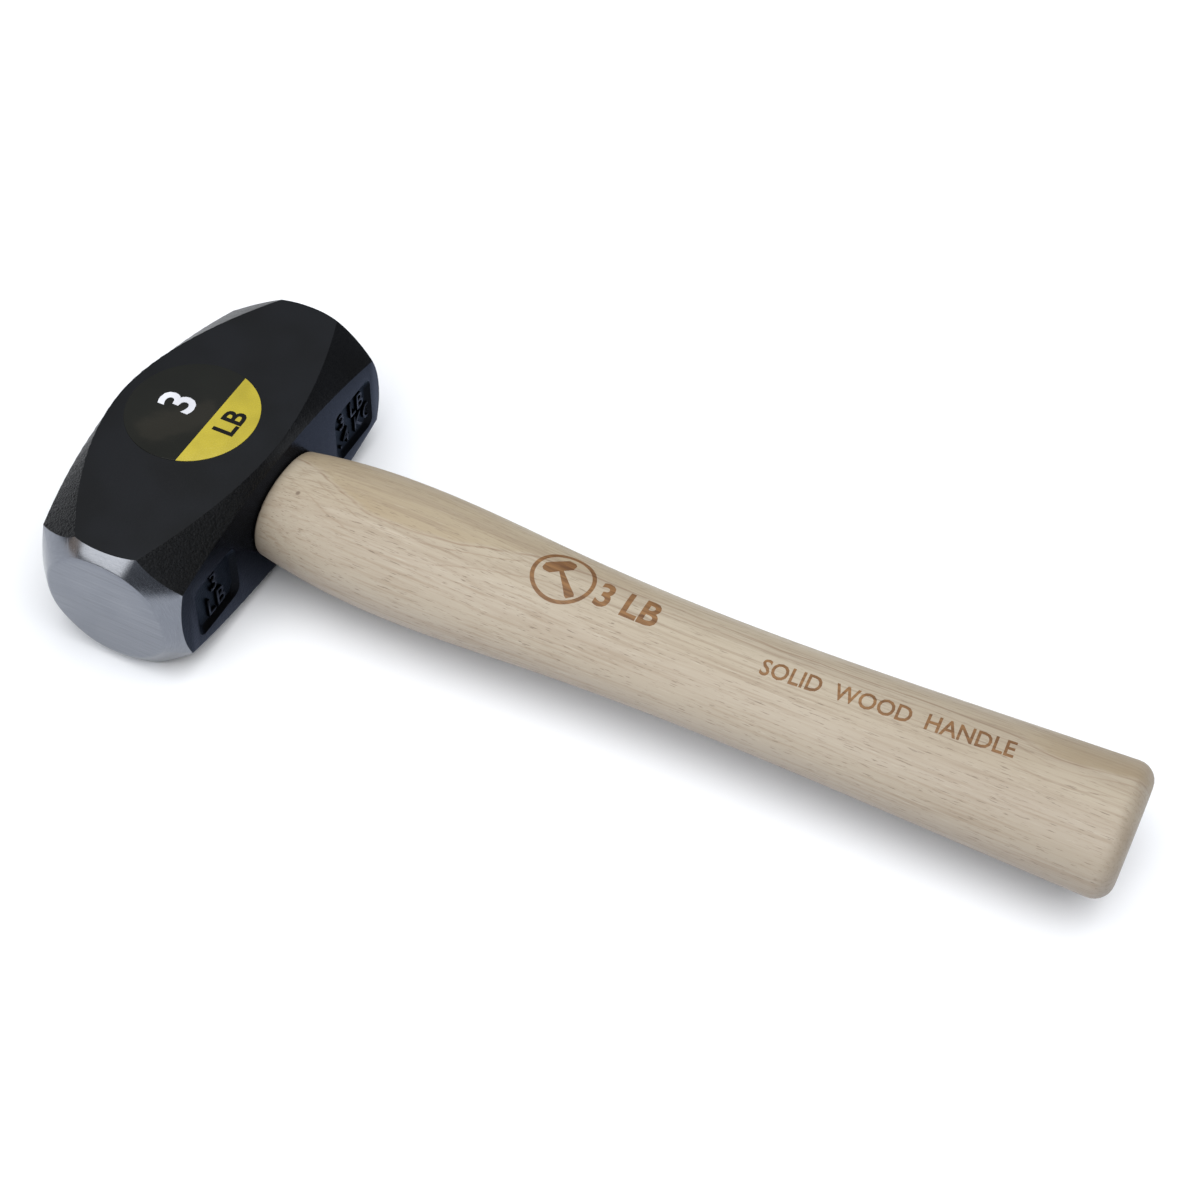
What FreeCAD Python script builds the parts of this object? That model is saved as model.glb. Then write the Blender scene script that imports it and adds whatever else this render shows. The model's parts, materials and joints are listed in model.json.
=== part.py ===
import FreeCAD, Part
import math
import os

# Short-handled three-pound hammer: a forged double-faced head on an oval wooden handle.
# The head's length runs along Y, the handle runs along +X and the hammer lies on a cheek.
# The model is laid out about the head's centre and lifted onto its lower cheek at the end.
# Every length is in millimetres.

# ---- head ----
HEAD_LENGTH = 109.4            # from one striking face to the other
CHEEK_THICKNESS = 41.8         # from cheek to cheek
HANDLE_SIDE = 21.6             # head's centre plane to the flat face that the handle enters
POLL_SIDE = 22.2               # head's centre plane to the back face, at the head's ends
POLL_ARCH = 7.0                # how much further the back face stands out at mid length
POLL_CURVE = 1.8               # power of the back's arch, 2 would be a parabola

FACE_RADIUS = 17.8             # flat striking face
GROUND_SLOPE = 1.2             # rise of the ground chamfer's radius for each unit of length
FACE_EDGE_ROUND = 0.8          # small round between the face and the ground chamfer

BEVEL_RUN_END = 11.3           # corner bevel measured across the cheek, at the head's ends
BEVEL_DROP_END = 9.2           # corner bevel measured down the side face, at the ends
POLL_BEVEL_RUN_END = 12.5      # the two bevels on the poll side are wider across the cheek
POLL_BEVEL_DROP_END = 7.3      # and lower down the back
BEVEL_RUN_MID = 1.2            # every bevel across the cheek at mid length
BEVEL_DROP_MID = 3.2           # and down its side there
BEVEL_CURVE = 1.8              # power of the bevels' curved edges
BEVEL_LEAD_END = 5.4           # distance from the face at which the bevels reach full size
BEVEL_STATIONS = 6             # sections along each half of a bevel

EYE_WIDTH = 30.8               # oval eye, along the head
EYE_HEIGHT = 22.2              # oval eye, from cheek to cheek

PANEL_CENTRES = (-35.0, 37.0)  # sunk marking panels on the handle side, along the head
PANEL_LENGTH = 19.6
PANEL_HEIGHT = 18.0
PANEL_DROP = 1.5               # how far the panels sit below the head's mid plane
PANEL_DEPTH = 1.4
PANEL_WALL = 1.6               # how far the panel's sloping walls run in
PANEL_CORNER = 2.5

# ---- handle ----
HANDLE_REACH = 263.8           # head's centre plane to the end of the butt
SHOULDER_STEP_Y = 1.2          # shoulder standing out round the eye, along the head
SHOULDER_STEP_Z = 1.4          # the same, from cheek to cheek
SHOULDER_ROUND = 1.0
BUTT_ROUND = 5.4
TENON_PROUD = 0.8              # how far the tenon's end stands out of the back face
FLARE_Y, FLARE_Z = 18.4, 13.9  # half width and half height of the grip's sections
SWELL_Y, SWELL_Z = 20.2, 15.1
NECK_Y, NECK_Z = 18.1, 12.4
WAIST_Y, WAIST_Z = 17.0, 11.6
PALM_Y, PALM_Z = 18.7, 12.7
BUTT_Y, BUTT_Z = 20.0, 13.6
FLARE_AT = 0.045               # where each section stands, as a share of the grip's length
SWELL_AT = 0.14
NECK_AT = 0.36
WAIST_AT = 0.60
PALM_AT = 0.84
HANDLE_SWAY = 1.2              # slight sideways curve of the wood, greatest at half length
OVAL_POWER = 2.15              # 2 is an ellipse, more is squarer
OVAL_POINTS = 24

# ---- wedges ----
KERF_WIDTH = 1.6               # saw cut in the tenon
KERF_DEPTH = 41.0
WEDGE_LENGTH = 35.0            # hardwood wedge along the eye's long axis
WEDGE_THICK = 6.0              # at its driven end
STEEL_LENGTH = 24.0            # steel wedges across the wooden one
STEEL_THICK = 2.6
STEEL_TIP = 0.5
STEEL_HEIGHT = 14.0
STEEL_SPACING = 15.0           # between the two, along the eye
STEEL_PROUD = 0.3

# ---- label ----
LABEL_RADIUS = 18.5
LABEL_THICK = 0.2
LABEL_TO_BACK = 6.5            # label's centre, from the head's centre plane
LABEL_ALONG = 1.3              # label's centre along the head

# ---- worked out from the above ----
HALF_LENGTH = HEAD_LENGTH / 2
HALF_THICK = CHEEK_THICKNESS / 2
BEVEL_FULL_AT = HALF_LENGTH - BEVEL_LEAD_END
BACK = POLL_SIDE + POLL_ARCH
TENON_END = -(BACK + TENON_PROUD)
GRIP_LENGTH = HANDLE_REACH - HANDLE_SIDE
PAST = 4.0                     # how far a cutting body reaches past what it cuts
WIDE = 4 * max(HALF_LENGTH, HALF_THICK, BACK)


def vec(x, y, z):
    return FreeCAD.Vector(x, y, z)


def spread(y, power):
    """1 at mid length, falling to 0 where the bevels reach full size."""
    return 1 - (abs(y) / BEVEL_FULL_AT) ** power


def back_at(y):
    return POLL_SIDE + POLL_ARCH * spread(y, POLL_CURVE)


def bevel_at(y, run_end, drop_end, power):
    """Run across the cheek and drop down the side of a corner bevel."""
    run = run_end + (BEVEL_RUN_MID - run_end) * spread(y, power)
    drop = drop_end + (BEVEL_DROP_MID - drop_end) * spread(y, 2)
    return run, drop


def polygon(points):
    return Part.makePolygon(points + points[:1])


def corner_cutter(side, up):
    """Long body of triangular section that takes one corner off the head."""
    sections = []
    reach = HALF_LENGTH + PAST
    for i in range(-BEVEL_STATIONS, BEVEL_STATIONS + 1):
        y = reach * i / BEVEL_STATIONS
        if side > 0:
            edge = HANDLE_SIDE
            run, drop = bevel_at(y, BEVEL_RUN_END, BEVEL_DROP_END, BEVEL_CURVE)
        else:
            edge = back_at(y)
            run, drop = bevel_at(y, POLL_BEVEL_RUN_END, POLL_BEVEL_DROP_END, POLL_CURVE)
        size = math.hypot(run, drop)
        lead_x = PAST / 2 * run / size
        lead_z = PAST / 2 * drop / size
        on_cheek = vec(side * (edge - run - lead_x), y, up * (HALF_THICK + lead_z))
        on_side = vec(side * (edge + lead_x), y, up * (HALF_THICK - drop - lead_z))
        outside = vec(side * (edge + 2 * PAST), y, up * (HALF_THICK + 2 * PAST))
        sections.append(polygon([on_cheek, on_side, outside]))
    return Part.makeLoft(sections, True, False)


def ground_barrel():
    """Body of revolution along Y: flat faces, ground chamfers, and room for the rest."""
    cone_length = (WIDE - FACE_RADIUS) / GROUND_SLOPE
    chamfer_y = max(HALF_LENGTH - cone_length, 0)
    chamfer_r = FACE_RADIUS + GROUND_SLOPE * (HALF_LENGTH - chamfer_y)
    points = [
        vec(0, -HALF_LENGTH, 0),
        vec(FACE_RADIUS, -HALF_LENGTH, 0),
        vec(chamfer_r, -chamfer_y, 0),
        vec(chamfer_r, chamfer_y, 0),
        vec(FACE_RADIUS, HALF_LENGTH, 0),
        vec(0, HALF_LENGTH, 0),
    ]
    if chamfer_y == 0:
        points.pop(3)
    barrel = Part.Face(polygon(points)).revolve(vec(0, 0, 0), vec(0, 1, 0), 360)
    rims = []
    for edge in barrel.Edges:
        box = edge.BoundBox
        if box.YLength < 0.01 and abs(abs(box.YMax) - HALF_LENGTH) < 0.01 and box.XLength > 1:
            rims.append(edge)
    return barrel.makeFillet(FACE_EDGE_ROUND, rims)


def rounded_rectangle(x, y, z, length, height, corner):
    """Wire in a plane across X, with its centre at y, z."""
    low = vec(x, y - length / 2, z - height / 2)
    box = Part.makePlane(length, height, low, vec(-1, 0, 0), vec(0, 1, 0))
    centre = box.BoundBox.Center
    box.translate(vec(x, y, z) - centre)
    wire = box.OuterWire
    edges = []
    corners = [v.Point for v in wire.OrderedVertexes]
    count = len(corners)
    tangents = []
    for i in range(count):
        here = corners[i]
        before = (corners[i - 1] - here).normalize() * corner
        after = (corners[(i + 1) % count] - here).normalize() * corner
        inward = (before + after) * (1 - math.sqrt(0.5))
        tangents.append((here + before, here + inward, here + after))
    for i in range(count):
        start, middle, end = tangents[i]
        following = tangents[(i + 1) % count][0]
        edges.append(Part.Arc(start, middle, end).toShape())
        edges.append(Part.makeLine(end, following))
    return Part.Wire(edges)


def panel_pocket(y):
    """Shallow pocket with sloping walls, open through the handle side."""
    grow = PANEL_WALL / PANEL_DEPTH
    outer_x = HANDLE_SIDE + 1
    outer = rounded_rectangle(outer_x, y, -PANEL_DROP, PANEL_LENGTH + 2 * grow,
                              PANEL_HEIGHT + 2 * grow, PANEL_CORNER + grow)
    inner = rounded_rectangle(HANDLE_SIDE - PANEL_DEPTH, y, -PANEL_DROP, PANEL_LENGTH - 2 * PANEL_WALL,
                              PANEL_HEIGHT - 2 * PANEL_WALL, PANEL_CORNER - PANEL_WALL / 2)
    return Part.makeLoft([outer, inner], True, True)


def eye_body(x_from, x_to):
    """Oval plug of the eye's own size between two planes across X."""
    half_y = EYE_WIDTH / 2
    half_z = EYE_HEIGHT / 2
    ellipse = Part.Ellipse(vec(x_from, half_y, 0), vec(x_from, 0, half_z), vec(x_from, 0, 0))
    face = Part.Face(Part.Wire(ellipse.toShape()))
    return face.extrude(vec(x_to - x_from, 0, 0))


def make_head():
    stations = range(-BEVEL_STATIONS, BEVEL_STATIONS + 1)
    along = [HALF_LENGTH * i / BEVEL_STATIONS for i in stations]
    back = Part.BSplineCurve()
    back.interpolate([vec(-back_at(y), y, -HALF_THICK) for y in along])
    start = vec(-back_at(along[0]), along[0], -HALF_THICK)
    end = vec(-back_at(along[-1]), along[-1], -HALF_THICK)
    near = vec(HANDLE_SIDE, -HALF_LENGTH, -HALF_THICK)
    far = vec(HANDLE_SIDE, HALF_LENGTH, -HALF_THICK)
    outline = Part.Wire([
        back.toShape(),
        Part.makeLine(end, far),
        Part.makeLine(far, near),
        Part.makeLine(near, start),
    ])
    block = Part.Face(outline).extrude(vec(0, 0, CHEEK_THICKNESS))
    head = block.common(ground_barrel())
    for side in (-1, 1):
        for up in (-1, 1):
            head = head.cut(corner_cutter(side, up))
    for y in PANEL_CENTRES:
        head = head.cut(panel_pocket(y))
    return head.cut(eye_body(-WIDE, WIDE))


def oval(x, centre_y, half_y, half_z):
    """Closed curve across X, a little squarer than an ellipse."""
    points = []
    for i in range(OVAL_POINTS):
        angle = 2 * math.pi * i / OVAL_POINTS
        cos, sin = math.cos(angle), math.sin(angle)
        y = centre_y + half_y * math.copysign(abs(cos) ** (2 / OVAL_POWER), cos)
        z = half_z * math.copysign(abs(sin) ** (2 / OVAL_POWER), sin)
        points.append(vec(x, y, z))
    curve = Part.BSplineCurve()
    curve.interpolate(points, PeriodicFlag=True)
    return Part.Wire(curve.toShape())


def edges_across(shape, x):
    found = []
    for edge in shape.Edges:
        if edge.BoundBox.XLength < 0.01 and abs(edge.BoundBox.XMin - x) < 0.01:
            found.append(edge)
    return found


def make_grip():
    """The handle outside the head, from its shoulder to the butt."""
    sections = [
        (0, EYE_WIDTH / 2 + SHOULDER_STEP_Y, EYE_HEIGHT / 2 + SHOULDER_STEP_Z),
        (FLARE_AT, FLARE_Y, FLARE_Z),
        (SWELL_AT, SWELL_Y, SWELL_Z),
        (NECK_AT, NECK_Y, NECK_Z),
        (WAIST_AT, WAIST_Y, WAIST_Z),
        (PALM_AT, PALM_Y, PALM_Z),
        (1, BUTT_Y, BUTT_Z),
    ]
    wires = []
    for share, half_y, half_z in sections:
        sway = -HANDLE_SWAY * math.sin(math.pi * share)
        wires.append(oval(HANDLE_SIDE + share * GRIP_LENGTH, sway, half_y, half_z))
    grip = Part.makeLoft(wires, True, False)
    grip = grip.makeFillet(SHOULDER_ROUND, edges_across(grip, HANDLE_SIDE))
    return grip.makeFillet(BUTT_ROUND, edges_across(grip, HANDLE_REACH))


def taper(length, end_x, thick, tip, spread_axis_half, across):
    """Wedge that narrows towards +X; across is 'y' where its broad faces look along Y."""
    half = thick / 2
    point = tip / 2
    outline = [(end_x, -half), (end_x, half), (end_x + length, point), (end_x + length, -point)]
    if across == "y":
        points = [vec(x, t, -spread_axis_half) for x, t in outline]
        return Part.Face(polygon(points)).extrude(vec(0, 0, 2 * spread_axis_half))
    points = [vec(x, -spread_axis_half, t) for x, t in outline]
    return Part.Face(polygon(points)).extrude(vec(0, 2 * spread_axis_half, 0))


def make_steel_wedges():
    end_x = TENON_END - STEEL_PROUD
    solids = []
    for side in (-1, 1):
        wedge = taper(STEEL_LENGTH, end_x, STEEL_THICK, STEEL_TIP, STEEL_HEIGHT / 2, "y")
        wedge.translate(vec(0, side * STEEL_SPACING / 2, 0))
        solids.append(wedge)
    return Part.makeCompound(solids)


def make_wood_wedge(steel):
    wedge = taper(WEDGE_LENGTH, TENON_END, WEDGE_THICK, KERF_WIDTH, EYE_WIDTH, "z")
    wedge = wedge.common(eye_body(TENON_END, HANDLE_SIDE + WEDGE_LENGTH))
    return wedge.cut(steel)


def make_handle(steel):
    handle = make_grip().fuse(eye_body(TENON_END, HANDLE_SIDE)).removeSplitter()
    kerf = Part.makeBox(KERF_DEPTH, 2 * EYE_WIDTH, KERF_WIDTH,
                        vec(TENON_END, -EYE_WIDTH, -KERF_WIDTH / 2))
    kerf = kerf.common(eye_body(TENON_END, HANDLE_SIDE + KERF_DEPTH))
    wedge = taper(WEDGE_LENGTH, TENON_END, WEDGE_THICK, KERF_WIDTH, EYE_WIDTH, "z")
    wedge = wedge.common(eye_body(TENON_END, HANDLE_SIDE + WEDGE_LENGTH))
    return handle.cut(kerf).cut(wedge).cut(steel)


def make_label():
    return Part.makeCylinder(LABEL_RADIUS, LABEL_THICK, vec(-LABEL_TO_BACK, LABEL_ALONG, HALF_THICK))


def main():
    steel = make_steel_wedges()
    nodes = {
        "hammer_head": make_head(),
        "handle": make_handle(steel),
        "eye_wedge": make_wood_wedge(steel),
        "steel_wedges": steel,
        "weight_label": make_label(),
    }
    os.makedirs("parts", exist_ok=True)
    for name, shape in nodes.items():
        shape.translate(vec(0, 0, HALF_THICK))
        shape.exportStep(os.path.join("parts", name + ".step"))
        print(name, "solids", len(shape.Solids), "valid", shape.isValid(),
              "volume %.1f cm3" % (shape.Volume / 1000))


main()
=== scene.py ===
# %% [markdown]
# # A three-pound hammer with a wooden handle
# The hammer has six pieces: a forged head, a hickory handle, a wooden wedge, two steel wedges and a
# round label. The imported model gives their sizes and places. This lesson models the visible
# surfaces around it and gives each one its finish. All lengths are in metres.

# %% Start
import json
import math

import bmesh
import bpy
import numpy as np
from mathutils import Matrix, Vector

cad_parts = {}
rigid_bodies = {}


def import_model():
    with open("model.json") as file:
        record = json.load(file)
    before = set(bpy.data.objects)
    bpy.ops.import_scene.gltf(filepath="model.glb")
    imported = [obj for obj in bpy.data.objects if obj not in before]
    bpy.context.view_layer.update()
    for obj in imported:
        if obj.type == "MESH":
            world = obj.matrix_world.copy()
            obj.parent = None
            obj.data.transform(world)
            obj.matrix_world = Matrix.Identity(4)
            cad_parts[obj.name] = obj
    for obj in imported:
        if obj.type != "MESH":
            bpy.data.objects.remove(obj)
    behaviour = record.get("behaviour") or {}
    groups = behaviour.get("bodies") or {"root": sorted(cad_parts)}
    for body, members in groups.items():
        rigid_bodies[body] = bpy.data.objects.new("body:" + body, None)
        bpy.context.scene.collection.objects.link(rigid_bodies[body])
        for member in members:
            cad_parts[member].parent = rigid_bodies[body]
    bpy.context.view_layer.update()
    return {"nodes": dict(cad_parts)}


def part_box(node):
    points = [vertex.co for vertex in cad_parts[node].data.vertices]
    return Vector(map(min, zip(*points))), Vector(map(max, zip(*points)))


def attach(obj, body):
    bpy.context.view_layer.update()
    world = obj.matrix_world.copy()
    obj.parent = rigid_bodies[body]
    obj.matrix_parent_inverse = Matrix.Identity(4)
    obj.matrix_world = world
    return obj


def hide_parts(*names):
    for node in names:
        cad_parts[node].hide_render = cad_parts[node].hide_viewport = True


for leftover in list(bpy.data.objects):
    bpy.data.objects.remove(leftover)
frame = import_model()
nodes = frame["nodes"]
MM = 0.001
print("nodes in the packed model:", sorted(nodes))

# %% [markdown]
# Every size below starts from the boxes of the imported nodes. The head's box gives the flat that the
# handle enters (its highest X), the back's furthest point (its lowest X), half the length (Y) and
# the thickness (Z). Only the sizes of the shaping itself are named here. The model keeps a hair
# inside that box, so that rounding never pushes it out.

# %% Sizes of the head
head_low, head_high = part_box("hammer_head")
HANDLE_SIDE = head_high.x
BACK = -head_low.x
INSIDE_BOX = 0.005 * MM
HALF_LENGTH = head_high.y - INSIDE_BOX
THICK = head_high.z
HALF_THICK = THICK / 2
MIDDLE = Vector((0, 0, HALF_THICK))
POLL_ARCH = 7.0 * MM
POLL_CURVE = 1.8
BEVEL_CURVE = 1.8
DROP_CURVE = 2
BEVEL_MID = (1.2 * MM, 3.2 * MM)
BEVEL_END = {1: (11.3 * MM, 9.2 * MM), -1: (12.5 * MM, 7.3 * MM)}
BEVEL_FULL_AT = HALF_LENGTH - 5.4 * MM
FACE_RADIUS = 17.8 * MM
GROUND_SLOPE = 1.2
EYE_HALF = (15.4 * MM, 11.1 * MM)
PANEL_CENTRES = (-35.0 * MM, 37.0 * MM)
PANEL_SIZE = (19.6 * MM, 18.0 * MM)
PANEL_DROP = 1.5 * MM
PANEL_DEPTH = 1.4 * MM
PANEL_WALL = 1.6 * MM
PANEL_CORNER = 2.2 * MM
PANEL_FLOOR_ROUND = 0.35 * MM
print("head", round(2 * HALF_LENGTH / MM, 1), "mm long and", round(THICK / MM, 1), "mm thick")

# %% [markdown]
# Operators act on whatever is selected, so each helper first clears the selection and picks its own
# object. `finish_with` adds a modifier, sets it and applies it at once, and `cut` does the same with
# a Boolean and then throws the cutting tool away.

# %% Helpers for modelling
def pick(piece):
    bpy.ops.object.select_all(action="DESELECT")
    piece.select_set(True)
    bpy.context.view_layer.objects.active = piece


def settle(piece):
    pick(piece)
    bpy.ops.object.transform_apply(location=True, rotation=True, scale=True)


def named(name, material):
    piece = bpy.context.object
    piece.name = name
    piece.data.name = name
    piece.data.materials.append(material)
    settle(piece)
    return piece


def finish_with(piece, kind, **settings):
    pick(piece)
    modifier = piece.modifiers.new(kind.lower(), kind)
    for key, value in settings.items():
        setattr(modifier, key, value)
    bpy.ops.object.modifier_apply(modifier=modifier.name)


def cut(piece, tool, operation="DIFFERENCE"):
    """Cuts at a thousand times the size, because the solver treats very short edges as nothing."""
    for part in (piece, tool):
        part.data.transform(Matrix.Scale(1 / MM, 4))
    finish_with(piece, "BOOLEAN", object=tool, operation=operation, solver="EXACT",
                material_mode="TRANSFER")
    piece.data.transform(Matrix.Scale(MM, 4))
    bpy.data.objects.remove(tool)


def take_all():
    bpy.ops.mesh.select_all(action="SELECT")


def extrude(*move):
    bpy.ops.mesh.extrude_region_move(TRANSFORM_OT_translate={"value": move})


def edit(piece, mode="FACE"):
    pick(piece)
    bpy.ops.object.mode_set(mode="EDIT")
    bpy.ops.mesh.select_mode(type=mode)
    bpy.ops.mesh.select_all(action="DESELECT")


def choose_edges(piece, test):
    """Selects the edges that pass the test. The piece is in edit mode."""
    shape = bmesh.from_edit_mesh(piece.data)
    for rim in shape.edges:
        if test(rim):
            rim.select_set(True)
    shape.select_flush_mode()
    bmesh.update_edit_mesh(piece.data)


def leave_edit(outward=True):
    if outward:
        take_all()
        bpy.ops.mesh.normals_make_consistent(inside=False)
    bpy.ops.object.mode_set(mode="OBJECT")


def triangles(piece):
    return sum(len(face.vertices) - 2 for face in piece.data.polygons)


# %% [markdown]
# A finish is a small tree of shader nodes. `link_in` adds one node and fills its sockets, either with
# a plain value or with another node's output, so that each finish below reads as a list of steps.
# All patterns read Object coordinates, in metres, so a scale of 1000 makes spots about 1 mm wide.

# %% Helpers for finishes
def link_in(tree, kind, sockets=None, **settings):
    made = tree.nodes.new("ShaderNode" + kind)
    for key, value in settings.items():
        setattr(made, key, value)
    for key, value in (sockets or {}).items():
        if isinstance(value, bpy.types.NodeSocket):
            tree.links.new(value, made.inputs[key])
        else:
            made.inputs[key].default_value = value
    return made


def blank_finish(name):
    material = bpy.data.materials.new(name)
    material.use_nodes = True
    tree = material.node_tree
    shader = tree.nodes["Principled BSDF"]
    place = link_in(tree, "TexCoord").outputs["Object"]
    return material, tree, shader, place


def speckle(tree, place, scale, detail=2.0, stretch=(1, 1, 1), offset=(0, 0, 0), distortion=0.0):
    """A noise pattern. Stretch multiplies the scale along each axis."""
    size = tuple(scale * share for share in stretch)
    mapped = link_in(tree, "Mapping", {"Vector": place, "Scale": size, "Location": offset})
    noise = link_in(tree, "TexNoise", {"Vector": mapped.outputs[0], "Scale": 1.0, "Detail": detail,
                                       "Distortion": distortion})
    return noise.outputs["Fac"]


def spread(tree, value, low, high, to_low=0.0, to_high=1.0):
    """Turns the range low to high into to_low to to_high, smoothly, and stops there."""
    ranged = link_in(tree, "MapRange", {"Value": value, "From Min": low, "From Max": high,
                                        "To Min": to_low, "To Max": to_high},
                     interpolation_type="SMOOTHSTEP")
    return ranged.outputs["Result"]


def sums(tree, operation, first, second=0.0):
    return link_in(tree, "Math", {0: first, 1: second}, operation=operation).outputs[0]


def blend_colours(tree, share, first, second, mode="MIX"):
    mixed = link_in(tree, "Mix", {"Factor": share, 6: first, 7: second}, data_type="RGBA",
                    blend_type=mode)
    return mixed.outputs[2]


def relief(tree, height, strength, distance, under=None):
    sockets = {"Height": height, "Strength": strength, "Distance": distance}
    if under is not None:
        sockets["Normal"] = under
    return link_in(tree, "Bump", sockets).outputs["Normal"]


def colour(red, green, blue):
    return (red, green, blue, 1.0)


# %% [markdown]
# ## Enamel
# The head is dipped in black enamel, and one function makes its four finishes. On the machined
# cheeks it dries to an even satin with a very fine grain. The corner bevels keep the forging's
# scale under the paint, so there it looks pebbled and darker. The flat sides and the panels give
# back only a dim bluish light at low angles. For those two the shader is metallic over a nearly
# black base, because the specular tint then dims and colours that reflection. It is still paint.

# %% Enamel finishes
def enamel(name, shade, roughness, grain, pebble, gloss, sheen=(0.90, 0.95, 1.0), metallic=0.0):
    material, tree, shader, place = blank_finish(name)
    fine = speckle(tree, place, 3200, 3.0)
    broad = speckle(tree, place, 45, 2.0)
    pebbles = speckle(tree, place, 1500, 4.0, offset=(3, 1, 7))
    dark = colour(shade * 0.80, shade * 0.86, shade * 0.95)
    light = colour(shade * 1.10, shade * 1.20, shade * 1.45)
    tint = blend_colours(tree, spread(tree, broad, 0.35, 0.65), dark, light)
    dull = spread(tree, fine, 0.3, 0.7, roughness - 0.05, roughness + 0.07)
    skin = relief(tree, fine, grain, 0.05 * MM)
    axes = link_in(tree, "SeparateXYZ", {0: place})
    rougher = spread(tree, axes.outputs["Y"], -30 * MM, 5 * MM, pebble, pebble * 0.15)
    coarse = relief(tree, spread(tree, pebbles, 0.36, 0.66), rougher, 0.35 * MM, skin)
    tree.links.new(tint, shader.inputs["Base Color"])
    tree.links.new(dull, shader.inputs["Roughness"])
    tree.links.new(coarse, shader.inputs["Normal"])
    shader.inputs["Specular IOR Level"].default_value = gloss
    shader.inputs["Specular Tint"].default_value = colour(*sheen)
    shader.inputs["Metallic"].default_value = metallic
    return material


satin_enamel = enamel("satin_enamel", shade=0.0075, roughness=0.36, grain=0.45, pebble=0.05,
                      gloss=0.20)
forged_enamel = enamel("forged_enamel", shade=0.0030, roughness=0.31, grain=0.35, pebble=0.60,
                       gloss=0.13)
side_enamel = enamel("side_enamel", shade=0.0060, roughness=0.22, grain=0.15, pebble=0.06,
                     gloss=0.5, sheen=(0.675, 0.71, 0.81), metallic=1.0)
panel_enamel = enamel("panel_enamel", shade=0.0050, roughness=0.34, grain=0.22, pebble=0.10,
                      gloss=0.5, sheen=(0.59, 0.63, 0.71), metallic=1.0)
print("enamels:", satin_enamel.name, forged_enamel.name, side_enamel.name, panel_enamel.name)

# %% [markdown]
# ## Ground steel
# The two ends are ground bright after painting. Round the chamfer the stone follows the head's long
# axis, so its scratches are rings: the pattern is stretched along the angle about that axis and
# fine across it. The flat face is dressed straight across, so there the strokes run along X.

# %% Ground steel finish
RING_FINENESS = 4200.0
FACE_DEPTH = 0.1 * MM


def ring_scratches(tree, axes):
    """Noise drawn out round the head's long axis."""
    flat = link_in(tree, "CombineXYZ", {"X": axes.outputs["X"], "Z": axes.outputs["Z"]})
    radius = link_in(tree, "VectorMath", {0: flat.outputs[0]}, operation="LENGTH").outputs["Value"]
    angle = link_in(tree, "Math", {0: axes.outputs["X"], 1: axes.outputs["Z"]},
                    operation="ARCTAN2").outputs[0]
    along = sums(tree, "MULTIPLY", axes.outputs["Y"], RING_FINENESS)
    turned = link_in(tree, "CombineXYZ", {"X": sums(tree, "MULTIPLY", radius, RING_FINENESS),
                                          "Y": along, "Z": sums(tree, "MULTIPLY", angle, 9.0)})
    rings = link_in(tree, "TexNoise", {"Vector": turned.outputs[0], "Scale": 1.0, "Detail": 3.0})
    return rings.outputs["Fac"]


def ground_steel():
    material, tree, shader, place = blank_finish("ground_steel")
    centred = link_in(tree, "Mapping", {"Vector": place, "Location": (0, 0, -HALF_THICK)})
    axes = link_in(tree, "SeparateXYZ", {0: centred.outputs[0]})
    grit = speckle(tree, place, 2600, 3.0)
    broad = speckle(tree, place, 60, 2.0)
    steel = blend_colours(tree, spread(tree, broad, 0.3, 0.7), colour(0.186, 0.199, 0.228),
                          colour(0.208, 0.221, 0.250))
    dull = spread(tree, grit, 0.25, 0.75, 0.15, 0.22)
    strokes = speckle(tree, place, 2000, 4.0, (0.03, 1, 1), (0, 2, 1))
    on_face = sums(tree, "GREATER_THAN", sums(tree, "ABSOLUTE", axes.outputs["Y"]),
                   HALF_LENGTH - FACE_DEPTH)
    scratches = link_in(tree, "Mix", {0: on_face, 2: ring_scratches(tree, axes),
                                      3: strokes}).outputs[0]
    steel = blend_colours(tree, spread(tree, scratches, 0.50, 0.72, 0.0, 0.30), steel,
                          colour(0.290, 0.302, 0.325))
    steel = blend_colours(tree, spread(tree, scratches, 0.30, 0.46, 0.25, 0.0), steel,
                          colour(0.130, 0.137, 0.150))
    skin = relief(tree, scratches, spread(tree, on_face, 0.0, 1.0, 0.35, 0.60), 0.02 * MM)
    tree.links.new(steel, shader.inputs["Base Color"])
    tree.links.new(dull, shader.inputs["Roughness"])
    tree.links.new(relief(tree, grit, 0.12, 0.01 * MM, skin), shader.inputs["Normal"])
    shader.inputs["Metallic"].default_value = 1.0
    return material


bright_steel = ground_steel()
print("finish of the ends:", bright_steel.name)

# %% [markdown]
# ## The head's blank
# A smith starts from a bar. Here a flat grid is laid on the lower cheek's plane, cut into strips
# along the head. The points of its back edge are pushed out to the arch that stiffens the metal
# round the eye, and the grid is then extruded up to the upper cheek.

# %% Forge the blank
STRIPS = 32
GRINDING_STOCK = 2 * MM
STOCK_LENGTH = 2 * (HALF_LENGTH + GRINDING_STOCK)


def share_at(y, power):
    """1 at mid length, falling to 0 where the corner bevels are at their full size."""
    return 1 - (abs(y) / BEVEL_FULL_AT) ** power


def back_at(y):
    return BACK - POLL_ARCH + POLL_ARCH * share_at(y, POLL_CURVE)


def make_blank():
    bpy.ops.mesh.primitive_grid_add(x_subdivisions=1, y_subdivisions=STRIPS, size=STOCK_LENGTH)
    blank = named("head", satin_enamel)
    for point in blank.data.vertices:
        point.co.x = HANDLE_SIDE if point.co.x > 0 else -back_at(point.co.y)
    edit(blank)
    take_all()
    extrude(0, 0, THICK)
    leave_edit()
    return blank


head = make_blank()
print("blank", [round(size / MM, 1) for size in head.dimensions], "mm")

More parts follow.
